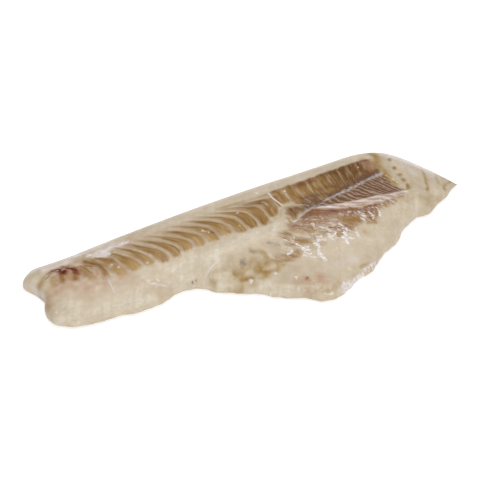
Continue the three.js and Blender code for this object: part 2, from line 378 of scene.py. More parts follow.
bars = np.maximum(bars, stains(
    bx, by, (2.6, 0.75, (-176, 19), (-176, 12.5)), (2.9, 1, (-168, 21), (-168, 12.5)),
    (3.3, 1, (-157, 19), (-158, 10.5)), (3.3, 1, (-148.5, 18), (-146.5, 12), (-146, 6)),
    (2.6, 0.9, (-151, 20), (-146, 20.5), (-142, 18)),
    (3.6, 1, (-145, 26), (-140, 22), (-136, 17), (-134.3, 9), (-135, 2.5)),
    (1.7, 0.95, (-139, 26), (-134, 24), (-129, 21.5)), (1.4, 0.5, (-143, 31), (-139, 27)),
    (2.6, 0.4, (-185, 18), (-181, 23), (-177, 26), (-172, 28.5)), (3, 0.25, (-163, 18)),
    (3, 0.25, (-152, 15)), (3.8, 1, (-126, 19), (-123.5, 10), (-122, 0)), (2.5, 0.3, (-131, 17), (-127, 14)),
    (3, 0.2, (-141, 12)), (3, 0.2, (-173, 17)), (2.4, 0.95, (28, 38.5), (45, 40), (62, 42)),
    (2, 0.9, (62, 41.5), (80, 44), (100, 45.5), (122, 46.5)), (3.6, 1, (28, 6), (30.5, 1.5)),
    (4, 1, (32, 11), (34, 6)), (3.6, 1, (38, 11), (41, 7)),
))
paint(fillet, "dark_muscle", bars)
paint(fillet, "along_bars", counted, rise)
golden = across_bar * (1 - smooth(rise, 0.12, 0.55)) * (1 - smooth(x, -45, 0)) * past_tail
golden *= 1 - 0.6 * smooth(x, -94, -89) * (1 - smooth(x, -72, -60))
golden = np.maximum(golden, stains(
    bx, by, (3, 0.7, (-176, 18), (-176, 12)), (2.4, 0.7, (-146.5, 8), (-146, 4)),
    (2.6, 0.6, (-135, 4), (-135, 1)),
))
paint(fillet, "golden_end", 0.85 * golden)
deep = 0.35 * smooth(rise, 0.5, 0.85) * (1 - smooth(x, 20, 50)) * smooth(middle, 0.3, 0.9)
deep = np.maximum(deep, 0.8 * smooth(x, 66, 90) + 0.5 * smooth(rise, 0.75, 0.95) * smooth(x, 30, 50))
deep = np.maximum(deep, stains(
    x, y, (5, 0.7, (30, 10), (33, 4)), (3, 0.6, (0, 33), (12, 31)), (3, 0.7, (48, 38), (66, 38.5)),
    (2.4, 0.5, (-140, 21), (-135, 14)), (4, 0.8, (113, 30), (117, 29)), (3, 0.35, (-86, 4)),
    (5, 0.7, (88, 26), (104, 30)), (5, 0.9, (98, 33), (110, 35)), (3, 0.6, (62, 42), (54, 41)),
    (4, 0.6, (66, 26), (94, 23)), (4, 0.7, (112, 33), (120, 32)),
))
paint(fillet, "deep_brown", deep)

# Brown flesh between the silver line and the upper edge of the belly wall. Its ribs stand upright below
# the loin and lean over towards the nape.
silver_y = along(silver_line, x)
wall_top = along([
    (24, 3), (34, -1), (44, 4), (50, 4.5), (58, 2), (65, 0.5), (75, -1), (90, -2), (105, -1), (120, 1),
    (140, 3),
], x)
rack_end = 0.9 * (12 - np.clip(y, 0, 12)) + 1.2 * rough(x, y, 4, 91)
rack = smooth(bx, 36, 46) * (1 - smooth(bx, 128 + rack_end, 131 + rack_end))
rack *= smooth(by, wall_top - 1, wall_top + 1) * (1 - smooth(by, silver_y - 1, silver_y + 1))
paint(fillet, "rack_muscle", rack)
above_silver = by - silver_y
plum = smooth(x, 38, 46) * (1 - smooth(x, 122, 128)) * smooth(above_silver, -3, 0)
plum *= 1 - smooth(above_silver, np.interp(x, (45, 75), (9, 3)), np.interp(x, (45, 75), (17, 9)))
plum = np.maximum(0.8 * plum, stains(
    bx, by, (4, 0.6, (106, 27), (112, 24)), (5, 0.6, (48, 20), (60, 19)), (4, 0.55, (37, 9), (43, 6)),
    (3, 0.5, (40, 1), (50, -1)),
))
paint(fillet, "plum_muscle", plum)
below_silver = np.clip(silver_y - y, -8, 30)
rack_lean = np.interp(x, (60, 80, 105), (0, 0.25, 0.35)) * below_silver
rack_lean += np.interp(x, (60, 80, 105), (0.005, 0.01, 0.018)) * below_silver**2
rack_turns = np.interp(x - rack_lean, (40, 80, 100, 150), (-7.2, 0, 4.4, 18))
rib_length = 12
paint(fillet, "along_rack", rack_turns, below_silver / rib_length)

# The belly wall's upper edge: a pale band of lining with pinkish streaks along it, paler still as a painted
# highlight along the ridge there
wall_low = along([
    (48, 3), (56, -0.5), (62, -3), (70, -6), (80, -7.5), (90, -9), (100, -8.5), (112, -6), (124, -3),
    (140, 0),
], x)
lining_and_highlight = smooth(bx, 48, 54) * (1 - smooth(bx, 136, 143)) * smooth(fy, wall_low - 0.6, wall_low + 0.8)
lining_and_highlight *= 1 - smooth(fy, wall_top - 0.8, wall_top + 0.6)
paint(fillet, "lining_and_highlight", lining_and_highlight)
wall_fall = np.interp(x, (50, 75, 85, 100, 140), (0, 11.5, 14.5, 17.5, 21))
wall_streak_spacing, wall_streak_length = 1.9, 16
paint(fillet, "along_wall", (y + wall_fall) / wall_streak_spacing, x / wall_streak_length)

# Torn brown fringe below that edge, with its jagged lower limit and the golden patches in it
fringe_low = along([
    (-2, -17), (4, -19), (12, -22), (20, -24), (26, -24), (36, -24), (44, -22), (50, -22), (56, -24),
    (60, -26), (66, -25), (72, -26), (78, -24), (82, -21), (88, -22), (94, -24), (100, -19), (104, -13),
    (112, -11), (120, -9), (130, -5),
], x)
turns = comb_phase(x, y)
teeth = 1.2 * np.cos(2 * np.pi * turns)
fringe = smooth(x + 0.4 * y, 0, 8) * (1 - smooth(x, 116, 130)) * (1 - smooth(wy, wall_top - 2, wall_top + 1))
fringe *= smooth(fy, fringe_low - 1.5 + teeth, fringe_low + 2.5 + teeth)
fringe *= 1 - stains(
    fx, fy, (5, 0.95, (5, -2), (14, -3)), (3.4, 0.9, (14, 2), (22, -2), (27, -4)),
    (4, 0.9, (0, -9), (15, -8)), (2, 0.9, (23, -15.5), (33, -18)), (2.2, 0.6, (35, -19), (44, -17.5)),
    (1.6, 0.6, (10, -17.5), (20, -19.5)), (2.4, 0.5, (2, -13), (8, -16)), (1.6, 0.5, (46, -16), (52, -18)),
    (1.6, 0.5, (30, -22.5), (36, -23)), (3, 0.45, (112, -7), (124, -6)),
)
fringe *= 1 - 0.15 * smooth(wall_top - y, 8, 14) * (1 - smooth(x, 52, 64))
fringe = np.maximum(fringe, stains(
    fx, fy, (3.4, 0.95, (68, -14), (76, -17), (81, -19)), (4.6, 0.35, (2, -28), (10, -29), (19, -30)),
    (2, 0.5, (20, -26), (24, -27.5)), (1.8, 0.7, (58, -25), (61, -24)), (2, 0.6, (88, -22), (95, -24)),
    (2, 0.8, (97, -13), (99, -18)), (1.1, 0.8, (24, -1), (24.5, -5)),
))
paint(fillet, "torn_fringe", fringe)
fold_length = 10
paint(fillet, "along_folds", turns, x / fold_length)
below_wall = wall_low - wy
shaded = smooth(x, 33, 42) * (1 - smooth(x, 96, 108))
shaded *= (1 - smooth(below_wall, 3, 9)) * smooth(below_wall, -1, 0.5)
shaded = np.maximum(shaded, stains(
    wx, wy, (2.6, 0.5, (22, -9), (30, -8), (38, -9)), (3.4, 0.85, (37, -2), (48, -2), (60, -7)),
    (1.4, 0.6, (40, -8.5), (50, -12)),
))
paint(fillet, "shaded_fold", shaded * (1 - smooth(y, wall_top, wall_top + 2)))
amber = stains(
    fx, fy, (3.2, 0.95, (67, -14.5), (74, -17), (80, -19)), (1.6, 0.8, (81, -12), (83, -14)),
    (2.2, 0.6, (60, -18), (61, -23)), (1.1, 0.7, (24, -1), (24.5, -5)), (1.6, 0.7, (15, -13), (18, -14)),
    (0.9, 0.6, (41, -9), (50, -12)), (1.3, 0.8, (22, -19), (34, -22.5)), (1.2, 0.7, (40, -16), (49, -19)),
    (1.4, 0.7, (52, -10), (60, -14)), (4, 0.7, (2, -28), (10, -30), (19, -29)),
    (3, 0.4, (34, -26), (45, -27)), (2, 0.5, (88, -22), (94, -24)), (1.8, 0.6, (98, -12), (99, -17)),
    (1.6, 0.6, (106, -8), (112, -10)), (1.6, 0.6, (113, -7), (124, -6)), (1.4, 0.5, (122, -3), (133, -2)),
    (1.2, 0.5, (90, -10), (96, -11)), (1.2, 0.5, (62, -10), (70, -14)),
)
paint(fillet, "amber_flesh", amber)

# Blood left in the tail, a red thread under the belly wall's edge and a few specks
blood = stains(
    fx, fy, (2.3, 0.95, (-170, 27), (-167.5, 25.5), (-163, 22.5)), (2.4, 0.8, (-168, 23), (-164, 20.5)),
    (2.1, 0.9, (-161, 25.5), (-157.5, 23)), (2.6, 1, (-156, 21.5), (-155, 16.5)),
    (1.5, 0.75, (-176, 25.8), (-171, 28)), (2.4, 0.4, (-168, 19), (-168, 12)),
    (2.4, 0.35, (-172, 28), (-160, 28)), (2, 0.35, (-165, 29), (-158, 27)),
    (2.6, 0.45, (-157, 16), (-158, 10)), (2.2, 0.35, (-134.5, 9), (-135, 2)), (2, 0.25, (-123, 9)),
    (1.4, 0.5, (-151, 22.5), (-147, 21.5)), (2, 0.35, (-41, 19), (-42, 21)), (1.7, 0.75, (-39, 12.5)),
    (2, 0.25, (-41, 8), (-38, 3)), (2, 0.35, (48, 38.5), (56, 39)), (2, 0.4, (60, 39.5), (68, 38)),
    (1.8, 0.4, (24, 33), (30, 32)), (1.3, 0.6, (14, -57.5), (15.8, -56.3)),
    (1.6, 0.35, (0, 34), (8, 32), (13, 31)), (2, 0.3, (140, 3)), (3, 0.35, (116, 31), (118, 33)),
    (3, 0.2, (44, 21), (52, 20)), (2, 0.55, (60, -5), (63, -6.5)), (1.6, 0.35, (26, -8.5)),
    (1.8, 0.35, (89, -14)),
)
blood = np.maximum(blood, strokes(
    fx, fy, (1, 0.4, (-180, 22), (-176, 25.5), (-172, 27.5), (-168, 28.5)),
    (1.1, 0.6, (-167, 28), (-162, 28), (-157, 24)),
    (0.8, 0.6, (-154, 22.6), (-150, 22.6), (-146, 21), (-142.5, 17.5)),
    (0.9, 0.3, (-135, 27.5), (-129.5, 22)), (1, 0.3, (-112, 32), (-106, 27), (-100, 22)),
    (1.2, 0.25, (-97, 16), (-91, 12)), (1, 0.7, (47, 2.5), (55, -2), (61, -4.5), (66.5, -7)),
    (1.3, 1, (61.5, -5), (66, -7)), (0.8, 0.55, (66.5, -7), (72, -10), (78, -16)),
    (0.6, 0.6, (77, -6.8), (81.5, -9)), (0.7, 0.5, (84, -9.5), (92, -14)), (1, 0.5, (95, -10), (97, -11)),
    (0.5, 0.4, (83, -17), (86, -19)), (1.4, 0.5, (109, 40), (113, 42)), (1, 0.5, (44, -1), (54, -5)),
    (1, 0.45, (25, -8.2), (28, -9)), (0.6, 0.35, (34, -6.5), (42, -9.5)),
    (0.6, 0.35, (27, -9.5), (34, -12.5)), (0.8, 0.5, (67, -18.5), (72, -21.5)),
    (0.7, 0.35, (36, -13), (48, -15.5)), (0.7, 0.35, (54, -17), (62, -19)),
    (0.8, 0.45, (92, -12), (96, -16)), (0.8, 0.4, (101, -8), (105, -12)), (0.8, 0.4, (110, -4), (114, -8)),
    (0.8, 0.35, (118, -2), (123, -6)), (0.7, 0.3, (127, 0), (133, -3)),
))
paint(fillet, "blood", blood)

# Rosy flesh: a little blood spread through the pale muscle
rosy = stains(
    wx, wy, (9, 0.5, (-176, 4), (-158, 2), (-140, -2)), (3, 0.35, (-184, 6), (-183, -8)),
    (5, 0.45, (-158, 29), (-148, 30), (-143, 35)), (3.4, 1, (14.5, -57)), (4.2, 0.7, (26, -59)),
    (4, 0.3, (12, -44), (14, -42)), (8, 0.35, (6, -60), (16, -68), (30, -66)),
    (5.5, 1, (118, 34), (121, 46)), (4, 0.8, (-48, 22), (-42, 18)), (4, 0.45, (24, -6), (40, -8), (52, -9)),
    (8, 0.3, (-130, -4), (-112, -10)), (3, 0.9, (-163, 12), (-163, 20)), (3, 0.9, (-152, 10), (-152, 17)),
    (3, 0.95, (-141, 9), (-141, 14)), (2.6, 0.75, (-173, 13), (-173, 20)), (8, 0.3, (-152, -10)),
    (3, 0.6, (-128, 8), (-127, 20)), (2.4, 0.5, (-115, 3), (-117, 10)), (2.4, 0.4, (-104, 12), (-110, 16)),
    (3, 0.4, (168, 30), (176, 38)), (5, 0.35, (-105, 36), (-80, 33), (-60, 33)),
    (6, 0.3, (-110, 44), (-90, 45)), (3, 0.3, (152, 6), (158, 2)), (3, 0.6, (126, 36), (124, 44)),
)
paint(fillet, "rosy_flesh", rosy)
flake_spacing, flake_length = 5, 30
paint(fillet, "along_flakes", (x - 0.42 * y) / flake_spacing, y / flake_length)

# Dull grey-brown flesh, where the muscle is thin or lies deeper, and painted shade on the tail's cut
# end face and along the lowest part of the rim
dull_and_shade = stains(
    wx, wy, (6, 0.65, (136, 44), (134, 30), (135, 12)), (3, 0.6, (130, 44), (130, 28), (132, 12)),
    (4, 0.4, (137, 14), (136, 10)), (11, 0.3, (150, 4), (158, 18), (162, 30)),
    (9, 0.25, (172, 20), (182, 12)), (7, 0.3, (145, 8), (150, 26)), (8, 0.4, (0, -46), (8, -42)),
    (4, 0.4, (4, -62), (10, -68)), (5, 0.3, (-184, -4), (-178, -8)), (6, 0.3, (-104, 45), (-86, 47)),
    (4, 0.5, (194, 16), (190, 22)), (6, 0.3, (70, -40), (66, -46)), (2.4, 0.4, (-186, -14), (-188, -4)),
    # The first two marks on the next line darken the tail's cut end face: painted shade
    (3, 0.95, (-188, 7), (-187, -8)), (2.4, 0.6, (-188, 10), (-189, 16)), (3, 0.35, (8, -22), (2, -19)),
    (3, 0.25, (148, -2), (136, -2)), (6, 0.2, (108, 52), (96, 52)),
)
# Painted shade along the lowest part of the rim, darker the nearer it is to the floor
rim_shade = 0.9 * (1 - smooth(z, 1.4, 3.4)) * (1 - smooth(y, 24, 34))
paint(fillet, "dull_flesh_and_shade", np.maximum(dull_and_shade, rim_shade))

# Olive and golden stains, where blood has dried round the nape and in the belly flap, with painted shade on
# the tail's cut end face, and the pin holes
olive_and_shade = stains(
    wx, wy, (4, 0.8, (138, 71), (150, 72)), (4, 0.7, (136, 63), (135, 56)),
    (4.2, 0.9, (134, 58), (134, 50), (131, 43)), (3, 0.8, (129, 43), (129, 30), (129.5, 20), (131.5, 12)),
    (2, 0.5, (126, 57), (131, 56)), (4.4, 0.6, (-36, -29), (-32, -31)),
    (3.2, 0.8, (-34, -36), (-28, -37), (-25, -38)), (4, 0.4, (-31, -33)), (4, 0.4, (-27, -27), (-20, -26)),
    (5, 0.92, (-16, -32), (-12, -34), (-10, -36)), (3.5, 0.45, (-14, -28), (-8, -30)),
    (3, 0.55, (-20, -38), (-14, -41)), (3, 0.6, (-7, -27), (-2, -29)), (3, 0.6, (0, -34), (-3, -38)),
    (2.4, 0.4, (-57, -27), (-53, -31)), (2.4, 0.5, (-46, -40), (-36, -43)),
    (3, 0.25, (-57, -24), (-48, -24)), (1.6, 0.5, (-18, -19), (-12, -20), (-6, -23)),
    (2.5, 0.3, (-44, -24), (-36, -20)), (3, 0.5, (4, -33), (0, -31)), (1.4, 0.4, (-8, -24), (-3, -28)),
    (1.6, 0.5, (-37, -29), (-33, -32)), (1.4, 0.6, (-34, -37), (-28, -38.5), (-25, -36.5)),
    (2, 0.5, (-14, -32), (-13, -35)), (4, 0.3, (-34, -42), (-26, -43)), (4.5, 0.12, (-43, -29), (-40, -33)),
    (1.2, 0.8, (-5, -40)), (3.2, 0.45, (-186, 17), (-181, 22), (-176, 25.5)),
    # The first mark on the next line, on the tail's cut end face, is painted shade
    (3, 0.35, (-188, 6), (-187, -6)), (5, 0.2, (-182, -6)), (4, 0.3, (-190, 30), (-184, 34)),
    (1.6, 0.6, (163, 6), (165, 14), (168, 22)), (1.6, 0.55, (168, 24), (171, 31)),
    (2, 0.45, (178, 12), (180, 20), (184, 27)), (1.6, 0.5, (183, 10), (188, 14), (194, 17)),
    (1.6, 0.9, (158, 65.5)), (4, 0.4, (152, -6), (160, -8)), (3, 0.3, (160, -2), (172, -2)),
    (2.4, 0.4, (82, -28), (84, -32)), (1.6, 0.4, (20, 6), (24, 14)), (2, 0.35, (28, 15), (35, 16)),
    (1.6, 0.4, (64, -60), (70, -58)), (3, 0.3, (5, -70), (30, -74), (36, -70)),
    (2, 0.45, (36, -14), (44, -19), (48, -20)), (1.6, 0.45, (20, -15), (30, -21)),
    (3, 0.25, (128, -4), (140, -6)), (2, 0.3, (0, 2), (10, 3), (18, 6)), (2, 0.4, (-24, 39), (0, 39.5)),
)
pin_holes = stains(
    x, y, (1.8, 1, (143.5, 43), (146.5, 46.5)), (2, 1, (140.5, 29.5), (142.5, 31.5)),
    (2, 0.8, (141, 20.5), (142.5, 21)), (2.3, 0.9, (142, 14)), (2.2, 0.95, (142, 5), (143, 8)),
    (1.5, 0.5, (139, 2.5), (141, 4)), (1.7, 0.7, (160.5, 3.5), (162.5, 5)), (2, 0.75, (181, 7)),
)
paint(fillet, "olive_stain_and_shade", olive_and_shade)
paint(fillet, "pin_holes", pin_holes)

# Dark grey specks where the lining of the belly is left
lining = stains(
    fx, fy, (1.5, 0.6, (-28, -22.5), (-25.5, -23.5)), (0.9, 0.3, (-29, -21.5), (-24, -21.5)),
    (1, 0.3, (-17, -19), (-14, -19.5)), (0.7, 0.5, (-2, -16.5), (2, -17.5), (7, -19.5)),
    (0.7, 0.4, (0, -19.5), (4, -19.5)), (0.6, 1, (-70.5, -21.8)), (0.6, 0.9, (-67.5, -22)),
    (0.9, 0.3, (7, -39), (8.5, -36)), (0.7, 0.5, (46, 3.5), (48, 1)),
)
paint(fillet, "dark_lining", lining)

# Creamy flesh: the palest muscle, along the belly edge and between the stains
cream = stains(
    wx, wy, (5, 0.5, (-192, 40), (-189, 25)),
    (3, 0.7, (-60, -24), (-40, -42), (10, -66), (25, -74), (40, -74)), (5, 0.9, (-184, -20), (-166, -26)),
    (3.4, 0.9, (-172, -25), (-150, -26), (-105, -28)), (6, 0.5, (-105, -12), (-75, -20)),
    (7, 0.95, (-75, -12), (-45, -12), (-20, -7), (10, -3)), (6, 1, (-78, -18), (-62, -20), (-52, -22)),
    (3, 0.6, (-40, -46), (-10, -56), (6, -66)), (4, 0.6, (10, -70), (34, -75)),
    (4, 0.8, (-52, -36), (-44, -26), (-39, -31)), (5, 0.7, (-142, -24), (-116, -24)),
    (3, 0.8, (-36, -46), (-14, -49)), (6, 0.6, (104, -20), (118, -16)), (5, 0.6, (138, -6), (150, -8)),
    (4, 0.9, (2, -1), (16, -4)), (6, 0.4, (160, 26), (168, 30)), (9, 0.4, (60, -46), (90, -34)),
    (5, 0.6, (-175, -10), (-165, -14)), (5, 0.4, (154, 26), (160, 40)),
)
cream = np.maximum(cream, strokes(
    fx, fy, (1.3, 0.8, (-22, -31), (-19, -26), (-13, -25)),
    (1.2, 0.7, (-9, -28), (-6, -31), (-5, -36), (-2, -33)), (1.2, 0.6, (-24, -35), (-21, -38)),
    (1.6, 0.8, (128, 42), (131, 50)), (1.2, 0.6, (-4, -24), (6, -26)),
))
paint(fillet, "cream_flesh", cream)

# Milky skin and painted glare: what is left of the silvery lining, and white highlights painted where the
# folds and the belly edge catch the light, torn into teeth along the folds, in crisp scraps and in soft rags
# that the material breaks up
skin_and_glare_scraps = strokes(
    fx, fy, (1, 1, (11.5, -27), (13, -26.6), (15.5, -25.8), (16.5, -25)),
    (0.8, 0.75, (12, -24.5), (14, -23.4), (15.5, -23.6)), (0.8, 0.8, (12.5, -16.5), (15.5, -18.5)),
    (0.5, 0.7, (15.5, -16), (23, -19)), (0.9, 0.85, (21.5, -21.5), (25.5, -24.5)),
    (1.3, 0.9, (25.5, -25.3), (28, -25), (31, -25.5)), (0.8, 1, (26, -26.6), (29, -27), (31.8, -28)),
    (0.9, 1, (26.3, -27.8), (28, -29.8), (31, -31.4)), (1, 0.85, (25, -31), (27, -32.6), (29.4, -33.8)),
    (1.1, 0.85, (29.5, -33.6), (33, -36)), (0.9, 0.6, (27.5, -36), (30, -38.5), (33.5, -41.5)),
    (0.6, 0.7, (31, -25.8), (34.5, -26.2)), (0.7, 0.6, (33, -22.5), (36, -24.5)),
    (1, 0.9, (36, -24.8), (38.5, -25)), (1.5, 1, (38, -26), (40, -25.6), (40.4, -28.6)),
    (1.4, 1, (39.5, -29), (38, -31), (36.4, -34)),
    (2, 1, (38.2, -32.5), (38.4, -36), (39, -40), (38.3, -43.6)),
    (1, 0.95, (40.5, -23.4), (44, -24.4), (47.5, -24.6)), (1.3, 0.75, (41, -21.4), (44.5, -21.8)),
    (0.9, 0.6, (41, -13), (44, -13.2)), (0.8, 0.6, (35, -12.5), (37, -14.8)),
    (1.1, 0.65, (46, -15), (50, -16.6), (54, -18.6)), (1.5, 0.6, (52, -20.4), (55, -20.6), (58, -19.2)),
    (1.2, 1, (51, -23), (53, -25.2), (55.3, -27.4)), (1.3, 0.8, (53, -23.6), (57.6, -22.6)),
    (0.8, 0.7, (55.5, -25), (58.5, -26.5)), (0.8, 0.7, (58, -11.5), (62, -14.5)),
    (1.1, 0.65, (60.5, -14.5), (64.5, -17.5), (66, -20)), (1, 0.7, (65.5, -20.5), (68, -21.8)),
    (0.8, 0.9, (66.5, -23), (70.3, -24.4)),
    (1.4, 1, (64.8, -23.5), (65.3, -27), (63.4, -29.5), (63.8, -33.4)), (1.2, 1, (62, -28), (63.5, -29.6)),
    (1.1, 0.9, (66, -29.4), (70.2, -31.6)), (1.5, 0.95, (74.3, -27.4), (75, -30.2)),
    (1.1, 0.8, (75.4, -24.4)), (1.1, 0.65, (75, -10), (77.5, -12), (80, -14)),
    (0.9, 0.5, (77, -9.4), (82, -12)), (1.7, 0.7, (84, -12), (86, -15), (87.5, -18)),
    (0.8, 1, (83.3, -17.4), (86, -19.8)), (0.6, 0.7, (86.3, -21), (88.7, -23.4)),
    (1.3, 0.85, (92.6, -15), (94, -17.4), (95.5, -19.2)), (1.1, 1, (93.7, -20.4)),
    (1.2, 0.5, (92, -11), (96, -13.6)), (0.6, 0.8, (97, -15.6), (98.6, -17)),
    (1.3, 0.9, (102, -13.5), (102.3, -16), (101.3, -19)), (0.8, 0.6, (101, -11.5), (104, -12)),
    (0.5, 0.6, (143, 2.6), (152, 3), (160, 1.5)), (0.9, 0.5, (146, -0.5), (158, -2)),
    (0.8, 0.8, (134, 2.5), (140, 1.5)), (0.5, 0.7, (127.5, 24), (132, 16), (137.5, 7)),
    (0.5, 0.6, (123, 23), (129, 13), (135, 5.5)), (0.5, 0.65, (119, 21), (125, 11), (132, 4)),
    (0.5, 0.6, (114.5, 20), (120, 10), (127, 3)), (0.45, 0.5, (109, 18), (114, 9), (121, 2)),
    (0.4, 0.5, (104, 14), (108, 6), (113, 1.5)), (0.6, 0.5, (168, 38), (172, 36), (180, 30)),
    (0.5, 0.4, (173, 26), (176, 20)), (0.6, 0.4, (150, 42), (156, 36)), (0.7, 0.6, (108, -4), (114, -8.5)),
    (0.7, 0.6, (116, -3), (121, -7.5)), (0.6, 0.5, (122, -2), (126, -6)),
    (1.8, 0.65, (28, -3.4), (33, -2.6)), (0.6, 0.6, (33, -3.6), (40, -6.6), (46, -9)),
    (0.5, 0.7, (30, -8.6), (33, -9.8)), (0.5, 0.6, (37, -10), (45, -12.6)),
    (0.8, 0.6, (51.5, -9), (52.5, -9.4)), (0.8, 0.6, (66, -9), (67.5, -9.8)),
    (0.5, 0.5, (69, -10.5), (74, -13)), (0.6, 0.6, (107, -7.5), (109, -9)), (0.6, 0.5, (113, -6), (115, -8)),
    (1.5, 1, (38.5, -76.5), (40, -73), (42, -71)), (1.3, 1, (41, -76), (43.5, -72), (46.5, -70.2)),
    (1.2, 1, (45, -73.4), (47.5, -70.5)), (1.2, 1, (50, -70), (53.5, -67)), (1.2, 1, (53, -69), (58, -65.6)),
    (1, 0.9, (59, -66), (62.5, -63.6)), (1.1, 1, (65, -63), (67.5, -60.6)), (1, 1, (73, -60), (75, -57)),
    (0.8, 0.8, (76.5, -57.5), (78.5, -54.5)), (1.2, 0.8, (110, 39.5)), (1.2, 0.8, (15.5, 47), (16, 43.5)),
    (1.4, 0.9, (-27.6, -41.4), (-26, -40)), (1, 0.7, (-8, -42.6), (-5, -41.6)),
    (0.9, 0.8, (7, -54), (8.2, -51)), (1, 0.6, (52, -37), (52.6, -38.5)),
    (0.8, 0.9, (-45.5, 18.6), (-44.8, 17)), (0.9, 1, (-43.2, 15.8)), (0.8, 1, (-41.8, 14.2)),
    (0.9, 0.5, (-47, 22)), (0.5, 0.75, (-152, 21.5), (-147, 21), (-141.5, 16)),
    (0.5, 0.75, (-184, 19), (-180, 23.5), (-175, 26), (-168, 26.5)), (0.6, 0.5, (-20, -53), (-8, -60)),
    (1, 0.6, (22, -75), (28, -77)),
)
skin_and_glare_rags = stains(
    fx, fy, (4.5, 0.47, (68, -11), (82, -13), (98, -12)), (4.5, 0.46, (42, -17), (58, -21)),
    (3.5, 0.45, (26, -28), (32, -33)), (3.5, 0.4, (22, -17), (34, -20)),
    (3.5, 0.38, (30, -9), (44, -11), (58, -14)), (3.5, 0.45, (104, -9), (122, -6)),
    (3.5, 0.45, (62, -16), (66, -24)), (2.4, 0.8, (39, -75), (48, -71), (60, -65)),
    (1.8, 0.65, (64, -63), (78, -56)),
)
paint(fillet, "skin_and_painted_glare", np.maximum(skin_and_glare_scraps, skin_and_glare_rags))

# The silver line between the bars and the brown ribs, worn through in places
silver_thread = stains(
    bx, by, (0.7, 0.55, *silver_line), (1.1, 0.55, (28, -4), (34, -1), (40, 3)), (1, 0.5, (42, 4), (50, 6)),
    (1.1, 0.8, (66, 11.5), (74, 13)), (1.1, 0.75, (78, 13.5), (84, 15.5)), (1, 0.9, (87, 14), (92, 18)),
    (1.1, 0.75, (95, 16.5), (101, 19)), (1, 0.8, (103, 18), (107, 21)), (1.2, 0.8, (111, 22), (118, 24.5)),
    (1.2, 0.9, (119, 25), (126, 27)), (1.2, 0.5, (52, 8), (54, 5)), (1.2, 0.5, (60, 8), (61, 4)),
    (0.8, 0.7, (36, 21), (38, 16), (42, 12.5), (47, 9)), (0.7, 0.45, (49, 19), (51, 14)),
)
paint(fillet, "silver_thread", silver_thread * smooth(x, 26, 34))

# Painted sheen: a highlight laid into the flesh's colour where the film clings to the wet back of
# the tail, and over the nape and the belly flap
painted_sheen = stains(
    wx, wy, (2.3, 1, (-141, 34), (-137, 30.5), (-131, 28), (-126, 27)),
    (2.3, 0.9, (-134, 34), (-124, 33), (-116, 34), (-108, 34)), (3, 0.9, (-135, 32), (-128, 30)),
    (3, 0.4, (-128, 37), (-116, 38)), (3, 0.7, (-179, 32), (-170, 32), (-157, 33)),
    (4, 0.6, (-190, 36), (-172, 39), (-150, 41), (-120, 45)), (3, 0.35, (-158, 38), (-140, 42)),
    (1.8, 0.6, (-128, 12)), (7, 0.7, (150, 52), (160, 44), (172, 36)),
    (8, 0.9, (148, 62), (162, 54), (180, 36)), (4, 0.4, (184, 26), (176, 22)),
    (6, 0.35, (148, 34), (158, 24)), (8, 0.3, (40, -50), (60, -50)),
)
paint(fillet, "painted_sheen", painted_sheen)


def linear(code):
    """Linear colour of an sRGB hex value."""
    shares = [int(code[i:i + 2], 16) / 255 for i in (1, 3, 5)]
    return (*((s / 12.92 if s <= 0.04045 else ((s + 0.055) / 1.055) ** 2.4) for s in shares), 1)


def add(tree, kind, settings=None, **sockets):
    """Adds a node. A socket is named or, after an underscore, numbered, and takes a value or an output."""
    node = tree.nodes.new("ShaderNode" + kind)
    for name, value in (settings or {}).items():
        setattr(node, name, value)
    for name, value in sockets.items():
        socket = node.inputs[int(name[1:])] if name[0] == "_" else node.inputs[name.replace("_", " ")]
        if isinstance(value, bpy.types.NodeSocket):
            tree.links.new(value, socket)
        else:
            socket.default_value = value
    return node


def new_material(name):
    material = bpy.data.materials.new(name)
    material.use_nodes = True
    material.node_tree.nodes.clear()
    return material


# Raw skinned cod: wet translucent muscle, so it glows a little from inside and shines softly. The colours
# go from the pale flesh through the stains to the milky skin left on the folds, with painted shade, sheen
# and glare laid into the colour as well.
flesh = new_material("raw_cod_flesh")
tree = flesh.node_tree


def streaks(vector, scale, detail=3):
    """Noise drawn out along the muscle, from 0 to 1."""
    drawn = add(tree, "Mapping", Vector=vector, Scale=scale).outputs[0]
    noise = add(tree, "TexNoise", Vector=drawn, Scale=1, Detail=detail, Roughness=0.6).outputs["Fac"]
    return add(tree, "MapRange", Value=noise, From_Min=0.34, From_Max=0.66).outputs["Result"]


def layer(name, noise, uneven, softness):
    """Share of a painted layer, its edge and strength broken up by noise."""
    share = add(tree, "Attribute", {"attribute_name": name}).outputs["Fac"]
    gain = add(tree, "Math", {"operation": "MULTIPLY_ADD"}, _0=noise, _1=2 * uneven, _2=1 - uneven)
    broken = add(tree, "Math", {"operation": "MULTIPLY"}, _0=gain.outputs[0], _1=share).outputs[0]
    return add(tree, "MapRange", Value=broken, From_Min=softness).outputs["Result"]


def tinted(under, over, share, amount=1):
    """Lays one colour over another, each a hex value or an output, by an amount of a share."""
    part = add(tree, "Math", {"operation": "MULTIPLY"}, _0=share, _1=amount).outputs[0]
    under, over = (linear(tone) if isinstance(tone, str) else tone for tone in (under, over))
    return add(tree, "Mix", {"data_type": "RGBA"}, _0=part, _6=under, _7=over).outputs[2]


def ripples(vector, noise, swing, low, high):
    """Folds across a vector's first part, one to each unit, shifted by noise; 1 on the crests."""
    count = add(tree, "SeparateXYZ", _0=vector).outputs[0]
    shift = add(tree, "Math", {"operation": "MULTIPLY_ADD"}, _0=noise, _1=swing, _2=count)
    turn = add(tree, "Math", {"operation": "MULTIPLY"}, _0=shift.outputs[0], _1=2 * math.pi)
    wave = add(tree, "Math", {"operation": "COSINE"}, _0=turn.outputs[0]).outputs[0]
    return add(tree, "MapRange", Value=wave, From_Min=low, From_Max=high).outputs["Result"]


